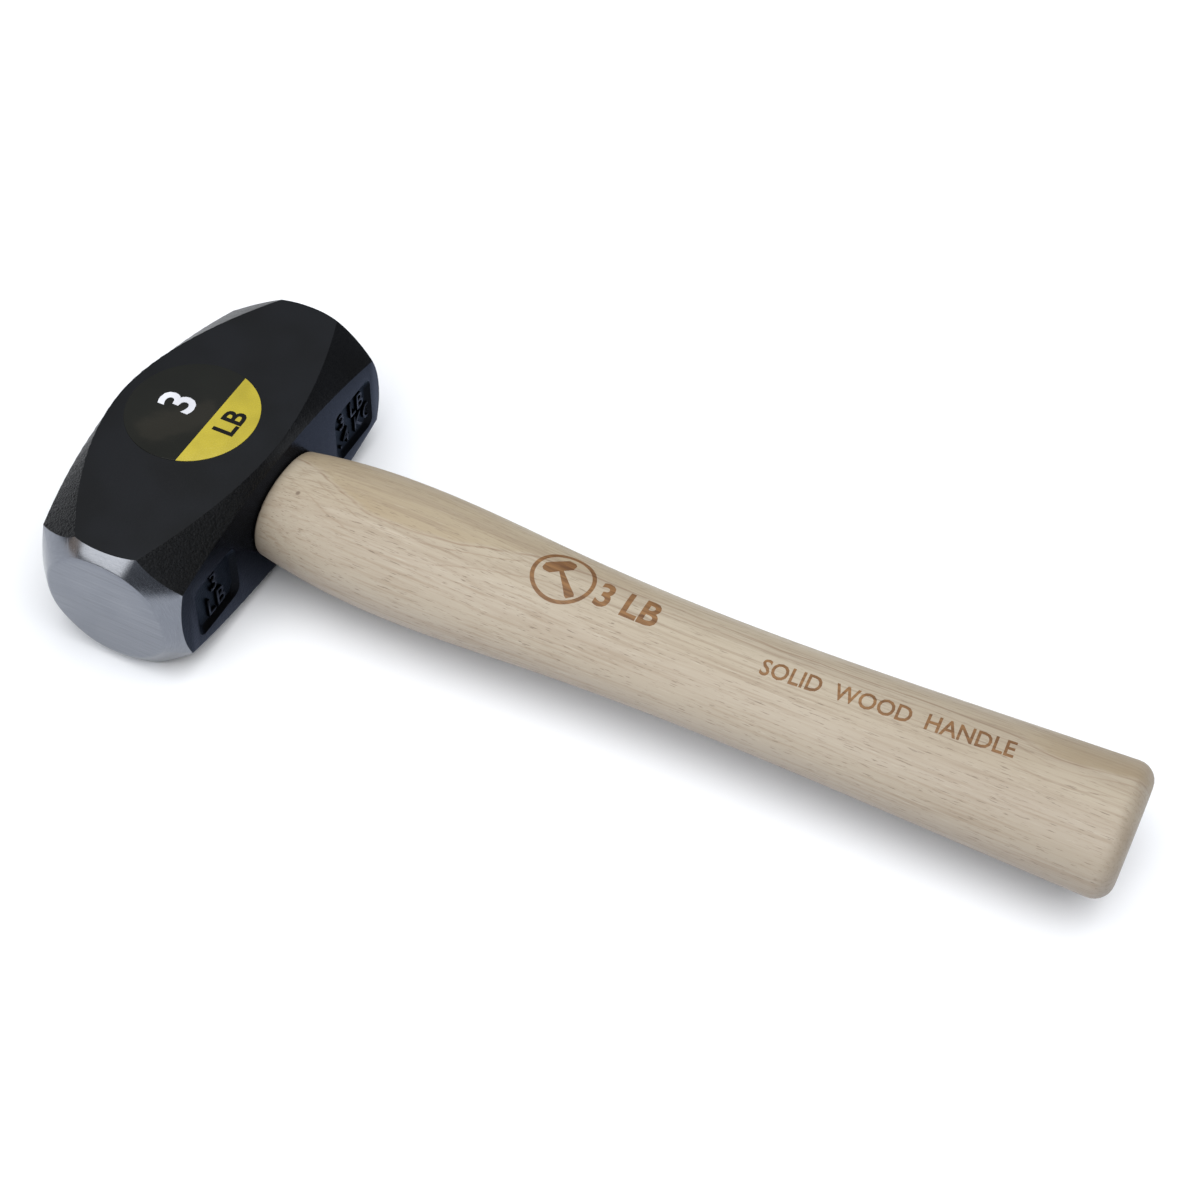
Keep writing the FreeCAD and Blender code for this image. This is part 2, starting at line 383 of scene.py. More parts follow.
# %% [markdown]
# ## Corner bevels
# The four long corners are cut by tools with a curved face: wide at the ends, nearly nothing at mid
# length. Each tool is again a grid of strips, one edge placed on the cheek and one on the side, and
# extruded outwards. Its own finish, the pebbled enamel, passes to the faces that it leaves. The
# back's bevels are wider across the cheek and less deep than those beside the handle. What still
# faces along X after that takes the side enamel.

# %% Cut the corners
TOOL_REACH = 8 * MM
TOOL_LEAD = 2 * MM
TOOL_OVERHANG = 3 * MM


def corner_tool(side, up):
    bpy.ops.mesh.primitive_grid_add(x_subdivisions=1, y_subdivisions=STRIPS,
                                    size=STOCK_LENGTH + TOOL_OVERHANG)
    tool = named("corner_tool", forged_enamel)
    for point in tool.data.vertices:
        y = point.co.y
        edge = HANDLE_SIDE if side > 0 else back_at(y)
        run, drop = BEVEL_END[side]
        run += (BEVEL_MID[0] - run) * share_at(y, BEVEL_CURVE)
        drop += (BEVEL_MID[1] - drop) * share_at(y, DROP_CURVE)
        lead = TOOL_LEAD / math.hypot(run, drop)
        if point.co.x > 0:
            point.co = Vector((side * (edge + run * lead), y, up * (HALF_THICK - drop * (1 + lead))))
        else:
            point.co = Vector((side * (edge - run * (1 + lead)), y, up * (HALF_THICK + drop * lead)))
        point.co += MIDDLE
    edit(tool)
    take_all()
    extrude(side * TOOL_REACH, 0, up * TOOL_REACH)
    take_all()
    bpy.ops.mesh.quads_convert_to_tris()
    leave_edit()
    return tool


for side in (-1, 1):
    for up in (-1, 1):
        cut(head, corner_tool(side, up))
head.data.materials.append(side_enamel)
for face in head.data.polygons:
    if abs(face.normal.x) > 0.9 and abs(face.normal.z) < 0.1:
        face.material_index = head.data.materials.find(side_enamel.name)
print("corners cut:", len(head.data.polygons), "faces")

# %% [markdown]
# ## Ground ends
# Grinding leaves a flat round face and a cone round it. Where the cone meets the flats and bevels
# of the head it makes the scalloped edge of the paint. One body holds both ends: a disc is extruded
# three times, and each point is then moved out to the ground radius in its own direction. Hand
# grinding leaves that radius a little out of round, with eight very shallow facets. Keeping only
# what lies inside the body grinds the head.

# %% Grind the ends
CONE_LENGTH = 24 * MM
FACE_ROUND = 0.8 * MM
FACE_LESS_UP = 0.5 * MM
FACE_MORE_BACK = 0.6 * MM
SLOPE_MORE_UP = 0.2
SLOPE_LESS_BACK = 0.2
FACETS = 8
FACET_SHARE = 0.009
FACET_BIAS = 0.4


def ground_radius(across, up, from_end):
    """Radius of the ground body in one direction, at a distance from the nearer end."""
    back = max(-across, 0) ** 2
    face = FACE_RADIUS - FACE_LESS_UP * up ** 2 + FACE_MORE_BACK * back
    faceted = 1 + FACET_SHARE * (FACET_BIAS - math.cos(FACETS * math.atan2(up, across))) / 2
    slope = GROUND_SLOPE + SLOPE_MORE_UP * up ** 4 - SLOPE_LESS_BACK * back
    return (face + slope * from_end) * faceted


def ground_body():
    bpy.ops.mesh.primitive_circle_add(vertices=192, radius=1, fill_type="NGON",
                                      location=(0, -HALF_LENGTH, HALF_THICK),
                                      rotation=(math.pi / 2, 0, 0))
    body = named("ground_body", bright_steel)
    edit(body)
    take_all()
    for step in (CONE_LENGTH, 2 * (HALF_LENGTH - CONE_LENGTH), CONE_LENGTH):
        extrude(0, step, 0)
    bpy.ops.object.mode_set(mode="OBJECT")
    for point in body.data.vertices:
        across, up = point.co.x, point.co.z - HALF_THICK
        radius = ground_radius(across, up, HALF_LENGTH - abs(point.co.y))
        point.co = Vector((across * radius, point.co.y, HALF_THICK + up * radius))
    edit(body, "EDGE")
    choose_edges(body, lambda rim: all(abs(abs(end.co.y) - HALF_LENGTH) < 1e-6
                                       for end in rim.verts))
    bpy.ops.mesh.bevel(offset=FACE_ROUND, segments=4)
    leave_edit()
    return body


cut(head, ground_body(), "INTERSECT")
print("ground ends:", [slot.name for slot in head.data.materials])

# %% [markdown]
# ## Soft edges
# Nothing on a forging is knife sharp. The Bevel modifier rounds every edge that turns by more than
# a set angle. It runs before the eye and the panels are cut, while the mesh is still simple, after
# points that the Booleans left almost on top of each other are merged.

# %% Round the edges
EDGE_ROUND = 0.45 * MM


def clean(piece, distance=0.03 * MM):
    edit(piece, "VERT")
    take_all()
    bpy.ops.mesh.remove_doubles(threshold=distance)
    bpy.ops.mesh.dissolve_degenerate(threshold=distance / 3)
    leave_edit()


clean(head)
finish_with(head, "BEVEL", width=EDGE_ROUND, segments=3, limit_method="ANGLE",
            angle_limit=math.radians(18), use_clamp_overlap=True)
clean(head, 0.005 * MM)
print("rounded head:", triangles(head), "triangles")

# %% [markdown]
# ## Eye and panels
# The eye is an oval hole along X for the handle. The two shallow panels beside it carry the weight
# marks. Their walls slope, as in any forging, so that the die lets go: a cube's inner face is made
# smaller. Its four standing corners are rounded, and then the rim of its inner face.

# %% Cut the eye and the panels
def eye_tool():
    bpy.ops.mesh.primitive_cylinder_add(vertices=96, radius=1, depth=4 * BACK,
                                        location=MIDDLE, rotation=(0, math.pi / 2, 0))
    tool = named("eye_tool", panel_enamel)
    for point in tool.data.vertices:
        point.co.y *= EYE_HALF[0]
        point.co.z = HALF_THICK + (point.co.z - HALF_THICK) * EYE_HALF[1]
    return tool


def panel_tool(along):
    bpy.ops.mesh.primitive_cube_add(size=1)
    tool = named("panel_tool", panel_enamel)
    for point in tool.data.vertices:
        outer = point.co.x > 0
        grow = PANEL_WALL / PANEL_DEPTH * MM if outer else -PANEL_WALL
        point.co.x = HANDLE_SIDE + (MM if outer else -PANEL_DEPTH)
        point.co.y = along + math.copysign(PANEL_SIZE[0] / 2 + grow, point.co.y)
        rise = math.copysign(PANEL_SIZE[1] / 2 + grow, point.co.z)
        point.co.z = HALF_THICK - PANEL_DROP + rise
    edit(tool, "EDGE")
    choose_edges(tool, lambda rim: abs(rim.verts[0].co.x - rim.verts[1].co.x) > MM)
    bpy.ops.mesh.bevel(offset=PANEL_CORNER, segments=6)
    bpy.ops.mesh.select_all(action="DESELECT")
    choose_edges(tool, lambda rim: all(end.co.x < HANDLE_SIDE for end in rim.verts))
    bpy.ops.mesh.bevel(offset=PANEL_FLOOR_ROUND, segments=3)
    leave_edit()
    return tool


cut(head, eye_tool())
for along in PANEL_CENTRES:
    cut(head, panel_tool(along))
print("head with eye and panels:", triangles(head), "triangles")

# %% [markdown]
# ## Marks in the panels
# The die leaves raised characters on the floor of each panel. They are plain weight marks, made as
# text with some thickness and a rounded rim, turned to face +X and joined to the head's own mesh.
# Text is a curve at first, so it is converted to a mesh before its place is applied.

# %% Raise the marks
CAPITAL_SHARE = 0.70
MERGE_WITHIN = 0.001 * MM
MARK_THICK = 0.6 * MM
MARK_RIM = 0.18 * MM
MARK_MIDDLE = 0.2 * MM


def lettering(words, height, name, thickness=0.0, spacing=1.0, lines=1.0, weight=0.0, narrow=1.0,
              rim=0.0):
    """Text as a mesh about its own centre, lying in the XY plane, with capitals of that height."""
    bpy.ops.object.text_add()
    text = bpy.context.object
    text.name = name
    text.data.body = words
    text.data.align_x = "CENTER"
    text.data.align_y = "CENTER"
    text.data.size = height / CAPITAL_SHARE
    text.data.space_character = spacing
    text.data.space_line = lines
    text.data.extrude = thickness / 2
    text.data.offset = weight
    text.data.bevel_depth = rim
    text.data.bevel_resolution = 1
    text.data.resolution_u = 3
    pick(text)
    bpy.ops.object.convert(target="MESH")
    made = bpy.context.object
    made.data.transform(Matrix.Diagonal((narrow, 1, 1, 1)))
    return made


def move_to(piece, place, turns):
    """Turns a piece about X, then Y, then Z, in degrees, and sets it down at place."""
    matrix = Matrix.Translation(place)
    for axis, degrees in zip("ZYX", reversed(turns)):
        matrix = matrix @ Matrix.Rotation(math.radians(degrees), 4, axis)
    piece.data.transform(matrix)
    piece.data.update()


def merge_points(piece):
    edit(piece, "VERT")
    take_all()
    bpy.ops.mesh.remove_doubles(threshold=MERGE_WITHIN)
    leave_edit()


def raise_mark(words, height, along):
    mark = lettering(words, height, "panel_mark", thickness=MARK_THICK, spacing=1.1, lines=0.86,
                     weight=-0.05 * MM, narrow=0.86, rim=MARK_RIM)
    mark.data.materials.append(side_enamel)
    merge_points(mark)
    middle_x = HANDLE_SIDE - PANEL_DEPTH + MARK_MIDDLE
    move_to(mark, Vector((middle_x, along, HALF_THICK - PANEL_DROP)), (90, 0, 90))
    return mark


marks = [raise_mark("3 LB\n1.4 KG", 5.6 * MM, PANEL_CENTRES[1]),
         raise_mark("3\nLB", 6.3 * MM, PANEL_CENTRES[0])]
bpy.ops.object.select_all(action="DESELECT")
for mark in marks:
    mark.select_set(True)
head.select_set(True)
bpy.context.view_layer.objects.active = head
bpy.ops.object.join()
print("head with marks:", triangles(head), "triangles")

# %% [markdown]
# Flat faces and gentle curves are shaded smooth, and edges over 25 degrees stay crisp. The finished
# head stands for the imported head and rides on the hammer's one body.

# %% Put the head in service
def put_in_service(piece, node, crisp=25):
    pick(piece)
    bpy.ops.object.shade_smooth_by_angle(angle=math.radians(crisp))
    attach(piece, "root")
    if node:
        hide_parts(node)
    print(piece.name, "has", triangles(piece), "triangles")


put_in_service(head, "hammer_head")

# %% [markdown]
# ## Hickory
# Hickory is pale cream with a little brown. Three things make it read as wood. Broad soft bands show
# the growth rings, and long fine streaks follow the grain. Short dark pores lie along it. Each
# is a noise pattern stretched along X, so on the butt, which is cut across the grain, the same
# patterns come out as dots and rings, as they do in real end grain. On one side of a wandering line
# the wood is tan heartwood, and on the other cream sapwood.

# %% Hickory's colours and lines
WOOD = {
    "cream": (0.445, 0.388, 0.300),
    "deep cream": (0.400, 0.340, 0.254),
    "grey cream": (0.365, 0.315, 0.250),
    "tan": (0.395, 0.330, 0.228),
    "deep tan": (0.352, 0.280, 0.180),
    "ring line": (0.245, 0.165, 0.105),
    "band": (0.300, 0.240, 0.175),
    "streak": (0.275, 0.212, 0.148),
    "fibre": (0.560, 0.520, 0.440),
    "pale streak": (0.600, 0.550, 0.460),
    "pore": (0.130, 0.088, 0.056),
    "fleck": (0.100, 0.070, 0.045),
    "knot": (0.110, 0.070, 0.045),
    # darker end grain at the butt, and painted shade next to the head where the handle meets it
    "end grain and shoulder shade": (0.230, 0.190, 0.140),
    "brown end": (0.270, 0.205, 0.125),
    # painted shade on the handle's low side
    "low side shade": (0.200, 0.160, 0.142),
    "grip": (0.200, 0.165, 0.135),
    "scorch": (0.60, 0.36, 0.175),
    "deep scorch": (0.40, 0.22, 0.100),
}
KNOT_AT = (30 * MM, -5.5 * MM, 0)
PALE_STREAK_Y = -7.3 * MM


def layer(tree, wood, share, name):
    """Lays one of the colours above over the wood, by that share."""
    return blend_colours(tree, share, wood, colour(*WOOD[name]))


def two_tone(tree, pattern, first, second):
    """Two of the colours above, mixed by a pattern."""
    return blend_colours(tree, spread(tree, pattern, 0.35, 0.65), colour(*WOOD[first]),
                         colour(*WOOD[second]))


def past_sapwood(tree, place, x, y):
    """How far a point is past the wandering line where the sapwood ends, in metres."""
    wander = speckle(tree, place, 60, 2.0, (0.5, 0.3, 0.3), (0, 0.3, 0))
    ragged = speckle(tree, place, 420, 3.0, (0.12, 1, 1), (0, 0.7, 0))
    near_head = sums(tree, "MULTIPLY", spread(tree, x, 20 * MM, 52 * MM, 0.0, 10 * MM),
                     spread(tree, x, 62 * MM, 112 * MM, 1.0, 0.0))
    near_butt = sums(tree, "MULTIPLY", spread(tree, x, 225 * MM, 242 * MM, 0.0, 3 * MM),
                     spread(tree, x, 244 * MM, 262 * MM, 1.0, 0.0))
    beyond = sums(tree, "ADD", sums(tree, "ADD", near_head, near_butt),
                  sums(tree, "ADD", y, spread(tree, wander, 0.2, 0.8, -7 * MM, -5 * MM)))
    return sums(tree, "ADD", beyond, spread(tree, ragged, 0.3, 0.7, -0.3 * MM, 0.3 * MM))


def ring_lines(tree, wood, beyond, bands):
    """Dark growth lines that follow the end of the sapwood, broken up by the bands."""
    for line, breadth, share in ((0.0, 0.55, 0.90), (-2.6, 0.35, 0.50), (-7.5, 0.40, 0.40)):
        away = sums(tree, "ABSOLUTE", sums(tree, "SUBTRACT", beyond, line * MM))
        broken = sums(tree, "MULTIPLY", spread(tree, away, 0.0, breadth * MM, share, 0.0),
                      spread(tree, bands, 0.35, 0.60, 0.25, 1.0))
        wood = layer(tree, wood, broken, "ring line")
    return wood


def pale_streak(tree, wood, x, y):
    along = sums(tree, "MULTIPLY", spread(tree, x, 36 * MM, 42 * MM),
                 spread(tree, x, 64 * MM, 72 * MM, 0.25, 0.0))
    away = sums(tree, "ABSOLUTE", sums(tree, "ADD", y, -PALE_STREAK_Y))
    share = sums(tree, "MULTIPLY", along, spread(tree, away, 0.2 * MM, 1.1 * MM, 1.0, 0.0))
    return layer(tree, wood, share, "pale streak")


def knot_spot(tree, wood, x, y):
    flat = link_in(tree, "CombineXYZ", {"X": x, "Y": y})
    away = link_in(tree, "VectorMath", {0: flat.outputs[0], 1: KNOT_AT},
                   operation="DISTANCE").outputs["Value"]
    return layer(tree, wood, spread(tree, away, 0.3 * MM, 0.9 * MM, 0.7, 0.0), "knot")


def darkened(tree, wood, inside, x, z):
    """Darker at both ends, on the low side and towards the butt. At the butt it is the darker end
    grain; next to the head and on the low side it is painted shade.
    """
    # painted shade next to the head, where the handle leaves it; darker end grain at the butt
    end_grain_and_shoulder_shade = sums(tree, "MAXIMUM", spread(tree, x, 258 * MM, 263 * MM, 0.0, 0.55),
                spread(tree, x, 22 * MM, 25 * MM, 0.45, 0.0))
    wood = layer(tree, wood, end_grain_and_shoulder_shade, "end grain and shoulder shade")
    brown_end = sums(tree, "MULTIPLY", spread(tree, x, 232 * MM, 246 * MM), inside)
    wood = layer(tree, wood, sums(tree, "MULTIPLY", brown_end, 0.45), "brown end")
    # painted shade: the handle is darker towards its low side
    wood = layer(tree, wood, spread(tree, z, 13 * MM, 27 * MM, 0.50, 0.0), "low side shade")
    return layer(tree, wood, spread(tree, x, 130 * MM, 250 * MM, 0.0, 0.13), "grip")


# %% [markdown]
# The finish lays those colours over each other, from the wood's own tones to the dirt and the painted
# shade on top. The burned marks are the same wood, multiplied by a scorched brown.

# %% Hickory finish
def hickory(name, burned=False):
    material, tree, shader, place = blank_finish(name)
    axes = link_in(tree, "SeparateXYZ", {0: place})
    x, y, z = (axes.outputs[axis] for axis in "XYZ")
    streaks = speckle(tree, place, 1300, 4.0, (0.02, 1, 1))
    bands = speckle(tree, place, 300, 3.0, (0.04, 1, 0.6), (0.4, 0.1, 0), 0.5)
    patches = speckle(tree, place, 60, 2.0, (0.25, 1, 1), (0, 0.3, 0))
    pores = speckle(tree, place, 3400, 2.0, (0.08, 1, 1), (2, 5, 1))
    fibres = speckle(tree, place, 3000, 2.0, (0.05, 1, 1), (7, 1, 3))
    flecks = speckle(tree, place, 900, 2.0, (0.30, 1, 1), (4, 4, 4))
    beyond = past_sapwood(tree, place, x, y)
    inside = spread(tree, beyond, -0.2 * MM, 1.6 * MM)
    # towards -Y, the handle's near side, the sapwood is greyer and darker
    sapwood = layer(tree, two_tone(tree, patches, "cream", "deep cream"),
                    spread(tree, y, -15 * MM, 0.0, 0.75, 0.0), "grey cream")
    strong = sums(tree, "MAXIMUM", spread(tree, x, 98 * MM, 122 * MM, 0.85, 0.35),
                  spread(tree, x, 226 * MM, 240 * MM, 0.35, 0.85))
    wood = blend_colours(tree, sums(tree, "MULTIPLY", inside, strong), sapwood,
                         two_tone(tree, patches, "tan", "deep tan"))
    wood = ring_lines(tree, wood, beyond, bands)
    wood = layer(tree, wood, spread(tree, bands, 0.48, 0.72, 0.0, 0.45), "band")
    wood = layer(tree, wood, spread(tree, streaks, 0.45, 0.75, 0.0, 0.65), "streak")
    wood = layer(tree, wood, spread(tree, fibres, 0.60, 0.75, 0.0, 0.25), "fibre")
    wood = pale_streak(tree, wood, x, y)
    deep = spread(tree, y, -12 * MM, 10 * MM, 0.65, 0.38)
    wood = layer(tree, wood, sums(tree, "MULTIPLY", spread(tree, pores, 0.60, 0.72), deep), "pore")
    wood = layer(tree, wood, spread(tree, flecks, 0.75, 0.80, 0.0, 0.6), "fleck")
    wood = knot_spot(tree, wood, x, y)
    wood = darkened(tree, wood, inside, x, z)
    if burned:
        scorch = speckle(tree, place, 800, 3.0, (0.15, 1, 1))
        wood = blend_colours(tree, 1.0, wood, two_tone(tree, scorch, "scorch", "deep scorch"),
                             "MULTIPLY")
    tree.links.new(wood, shader.inputs["Base Color"])
    tree.links.new(spread(tree, streaks, 0.3, 0.7, 0.45, 0.60), shader.inputs["Roughness"])
    height = sums(tree, "SUBTRACT", streaks, spread(tree, pores, 0.60, 0.72, 0.0, 0.6))
    tree.links.new(relief(tree, height, 0.35, 0.08 * MM), shader.inputs["Normal"])
    shader.inputs["Coat Weight"].default_value = 0.06
    shader.inputs["Coat Roughness"].default_value = 0.4
    return material


sanded_hickory = hickory("sanded_hickory")
burned_hickory = hickory("burned_hickory", burned=True)
print("woods:", sanded_hickory.name, burned_hickory.name)

# %% [markdown]
# ## The handle
# A handle is turned and sanded through a few sections: shoulder, swell, neck, waist, palm and butt.
# A smooth curve through those sections gives the width and the height at any point.

# %% Sections of the handle
handle_low, handle_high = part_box("handle")
TENON_END = handle_low.x
BUTT_END = handle_high.x - INSIDE_BOX
GRIP = BUTT_END - HANDLE_SIDE
SHOULDER_STEP = (1.2 * MM, 1.4 * MM)
SHOULDER_ROUND = 1.0 * MM
BUTT_ROUND = 5.4 * MM
HANDLE_SWAY = 1.2 * MM
OVAL_POWER = 2.15
TENON_SHARE = 0.995
SECTION_AT = (0, 0.045, 0.14, 0.36, 0.60, 0.84, 1)
HALF_WIDTHS = (EYE_HALF[0] + SHOULDER_STEP[0], 18.4 * MM, 20.2 * MM, 18.1 * MM, 17.0 * MM,
               18.7 * MM, 20.0 * MM)
HALF_HEIGHTS = (EYE_HALF[1] + SHOULDER_STEP[1], 13.9 * MM, 15.1 * MM, 12.4 * MM, 11.6 * MM,
                12.7 * MM, 13.6 * MM)


def curve_through(knots, values):
    """A natural cubic spline: returns a function of the distance along the knots."""
    x = np.array(knots, float)
    y = np.array(values, float)
    step = np.diff(x)
    count = len(x)
    system = np.eye(count)
    right = np.zeros(count)
    for i in range(1, count - 1):
        system[i, i - 1:i + 2] = step[i - 1], 2 * (step[i - 1] + step[i]), step[i]
        right[i] = 6 * ((y[i + 1] - y[i]) / step[i] - (y[i] - y[i - 1]) / step[i - 1])
    bend = np.linalg.solve(system, right)

    def at(place):
        i = int(np.clip(np.searchsorted(x, place) - 1, 0, count - 2))
        a, b = x[i + 1] - place, place - x[i]
        h = step[i]
        curved = (bend[i] * a ** 3 + bend[i + 1] * b ** 3) / (6 * h)
        return curved + (y[i] / h - bend[i] * h / 6) * a + (y[i + 1] / h - bend[i + 1] * h / 6) * b

    return at


width_at = curve_through(SECTION_AT, HALF_WIDTHS)
height_at = curve_through(SECTION_AT, HALF_HEIGHTS)


def handle_ring(x):
    """Half width, half height and sideways set of the grip at x."""
    share = (x - HANDLE_SIDE) / GRIP
    return width_at(share), height_at(share), -HANDLE_SWAY * math.sin(math.pi * share)


print("grip half width at the waist:", round(width_at(0.6) / MM, 1), "mm")

# %% [markdown]
# The piece starts as an oval disc at the tenon's end and grows along X ring by ring, each ring
# extruded and then resized. The shoulder and the butt are rounded with a quarter turn of rings.

# %% Grow the handle
GRIP_RINGS = 60
ROUND_STEPS = 7


def rings_of_handle():
    """Every ring from the tenon to the butt as x, half width, half height and set."""
    tenon = (EYE_HALF[0] * TENON_SHARE, EYE_HALF[1] * TENON_SHARE, 0)
    rings = [(TENON_END, *tenon), (HANDLE_SIDE, *tenon)]
    for i in range(ROUND_STEPS):
        turn = math.pi / 2 * i / ROUND_STEPS
        x = HANDLE_SIDE + SHOULDER_ROUND * (1 - math.cos(turn))
        half_y, half_z, aside = handle_ring(x)
        less = SHOULDER_ROUND * (1 - math.sin(turn))
        rings.append((x, half_y - less, half_z - less, aside))
    for i in range(GRIP_RINGS + 1):
        x = HANDLE_SIDE + SHOULDER_ROUND + (GRIP - SHOULDER_ROUND - BUTT_ROUND) * i / GRIP_RINGS
        rings.append((x, *handle_ring(x)))
    for i in range(1, ROUND_STEPS + 1):
        turn = math.pi / 2 * i / ROUND_STEPS
        x = BUTT_END - BUTT_ROUND * (1 - math.sin(turn))
        half_y, half_z, aside = handle_ring(x)
        less = BUTT_ROUND * (1 - math.cos(turn))
        rings.append((x, half_y - less, half_z - less, aside))
    return rings


def make_handle():
    rings = rings_of_handle()
    x, half_y, half_z, aside = rings[0]
    bpy.ops.mesh.primitive_circle_add(vertices=72, radius=1, fill_type="NGON",
                                      location=(x, 0, HALF_THICK), rotation=(0, math.pi / 2, 0))
    handle = named("handle_wood", sanded_hickory)
    for point in handle.data.vertices:
        across = point.co.y
        up = point.co.z - HALF_THICK
        point.co.y = half_y * math.copysign(abs(across) ** (2 / OVAL_POWER), across)
        point.co.z = HALF_THICK + half_z * math.copysign(abs(up) ** (2 / OVAL_POWER), up)
    edit(handle)
    take_all()
    for ring in rings[1:]:
        extrude(ring[0] - x, ring[3] - aside, 0)
        bpy.ops.transform.resize(value=(1, ring[1] / half_y, ring[2] / half_z),
                                 center_override=(ring[0], ring[3], HALF_THICK))
        x, half_y, half_z, aside = ring
    leave_edit()
    return handle


handle = make_handle()
print("handle", [round(size / MM, 1) for size in handle.dimensions], "mm,", triangles(handle),
      "triangles")

# %% [markdown]
# ## Wedges
# A saw kerf in the tenon takes a wooden wedge, and two steel wedges cross it. All of them narrow
# towards the handle. Each is a cube with its inner face made thinner. The wooden wedge's own shape
# cuts its seat, and copies of the steel ones, a hair larger, cut theirs.

# %% Drive the wedges
WEDGE = {"length": 35.0 * MM, "thick": 6.0 * MM, "tip": 1.6 * MM}
STEEL = {"length": 24.0 * MM, "thick": 2.6 * MM, "tip": 0.5 * MM, "height": 14.0 * MM,
         "spacing": 15.0 * MM}
KERF_DEPTH = 41.0 * MM
STEEL_ROUND = 0.12 * MM
SEAT_GAP = 0.02 * MM


def wedge_block(name, material, low_x, length, thick, tip, breadth, flat_axis, centre_y=0.0):
    """flat_axis is 'z' where the broad faces look up and down, and 'y' where they look sideways."""
    bpy.ops.mesh.primitive_cube_add(size=1)
    block = named(name, material)
    for point in block.data.vertices:
        inner = point.co.x > 0
        narrow = tip if inner else thick
        across = narrow if flat_axis == "y" else breadth
        tall = breadth if flat_axis == "y" else narrow
        point.co.x = low_x + (length if inner else 0)
        point.co.y = centre_y + point.co.y * across
        point.co.z = HALF_THICK + point.co.z * tall
    return block


def wedge_wood():
    material, tree, shader, place = blank_finish("crosswood")
    pores = speckle(tree, place, 2400, 2.0, (0.05, 1, 1), (1, 2, 3))
    rings = speckle(tree, place, 500, 3.0, (0.05, 0.25, 1.4))
    shade = blend_colours(tree, spread(tree, rings, 0.35, 0.65), colour(0.34, 0.22, 0.13),
                          colour(0.24, 0.145, 0.08))
    dark = blend_colours(tree, spread(tree, pores, 0.58, 0.70, 0.0, 0.8), shade,
                         colour(0.07, 0.045, 0.03))
    tree.links.new(dark, shader.inputs["Base Color"])
    tree.links.new(spread(tree, rings, 0.3, 0.7, 0.6, 0.75), shader.inputs["Roughness"])
    tree.links.new(relief(tree, sums(tree, "SUBTRACT", rings, pores), 0.5, 0.2 * MM),
                   shader.inputs["Normal"])
    return material


def wedge_steel():
    material, tree, shader, place = blank_finish("plain_wedge_steel")
    dents = speckle(tree, place, 600, 2.0)
    grime = speckle(tree, place, 260, 4.0, offset=(1, 0, 2))
    metal = blend_colours(tree, spread(tree, grime, 0.4, 0.65), colour(0.42, 0.42, 0.43),
                          colour(0.20, 0.17, 0.15))
    tree.links.new(metal, shader.inputs["Base Color"])
    tree.links.new(spread(tree, grime, 0.3, 0.7, 0.35, 0.6), shader.inputs["Roughness"])
    tree.links.new(relief(tree, dents, 0.6, 0.2 * MM), shader.inputs["Normal"])
    shader.inputs["Metallic"].default_value = 0.95
    return material


crosswood = wedge_wood()
plain_steel = wedge_steel()
steel_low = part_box("steel_wedges")[0]
wood_low, wood_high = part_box("eye_wedge")


def steel_block(side, material, grow=0.0, reach=0.0):
    return wedge_block("steel_wedge", material, steel_low.x - reach, STEEL["length"] + reach,
                       STEEL["thick"] + grow, STEEL["tip"] + grow, STEEL["height"] + grow, "y",
                       side * STEEL["spacing"] / 2)


wood_block = wedge_block("eye_wedge_wood", crosswood, wood_low.x, WEDGE["length"], WEDGE["thick"],
                         WEDGE["tip"], wood_high.y - wood_low.y, "z")
kerf = wedge_block("kerf", sanded_hickory, TENON_END - MM, KERF_DEPTH + MM, WEDGE["tip"],
                   WEDGE["tip"], 3 * EYE_HALF[0], "z")
seat = wedge_block("seat", sanded_hickory, wood_low.x, WEDGE["length"], WEDGE["thick"],
                   WEDGE["tip"], 3 * EYE_HALF[0], "z")
eye_limit = eye_tool()
cut(wood_block, eye_limit, "INTERSECT")
wood_block.data.materials.clear()
wood_block.data.materials.append(crosswood)
cut(handle, kerf)
cut(handle, seat)
steels = []
for side in (-1, 1):
    cut(handle, steel_block(side, sanded_hickory, SEAT_GAP, MM))
    cut(wood_block, steel_block(side, crosswood, SEAT_GAP, MM))
    steels.append(steel_block(side, plain_steel))
bpy.ops.object.select_all(action="DESELECT")
for block in steels:
    block.select_set(True)
bpy.context.view_layer.objects.active = steels[0]
bpy.ops.object.join()
steel_pair = bpy.context.object
steel_pair.name = "steel_wedge_pair"
finish_with(steel_pair, "BEVEL", width=STEEL_ROUND, segments=2, limit_method="ANGLE",
            angle_limit=math.radians(40))
put_in_service(handle, "handle", 35)
put_in_service(wood_block, "eye_wedge", 35)
put_in_service(steel_pair, "steel_wedges", 35)

# %% [markdown]
# ## Weight label
# The label is a printed film, glossy, with a black part and a yellow part that meet on a straight
# line. The figure and the unit are printed on top.

# %% Label finishes
def print_film(name, shade, roughness, wave, gloss=0.5):
    material, tree, shader, place = blank_finish(name)
    ripple = speckle(tree, place, 90, 2.0)
    grain = speckle(tree, place, 1800, 2.0)
    deep = colour(*(part * 0.9 for part in shade))
    full = colour(*(min(part * 1.06, 1.0) for part in shade))
    tree.links.new(blend_colours(tree, spread(tree, ripple, 0.35, 0.65), deep, full),
                   shader.inputs["Base Color"])
    tree.links.new(spread(tree, grain, 0.3, 0.7, roughness, roughness + 0.05),
                   shader.inputs["Roughness"])
    tree.links.new(relief(tree, ripple, wave, 0.3 * MM), shader.inputs["Normal"])
    shader.inputs["Specular IOR Level"].default_value = gloss
    return material


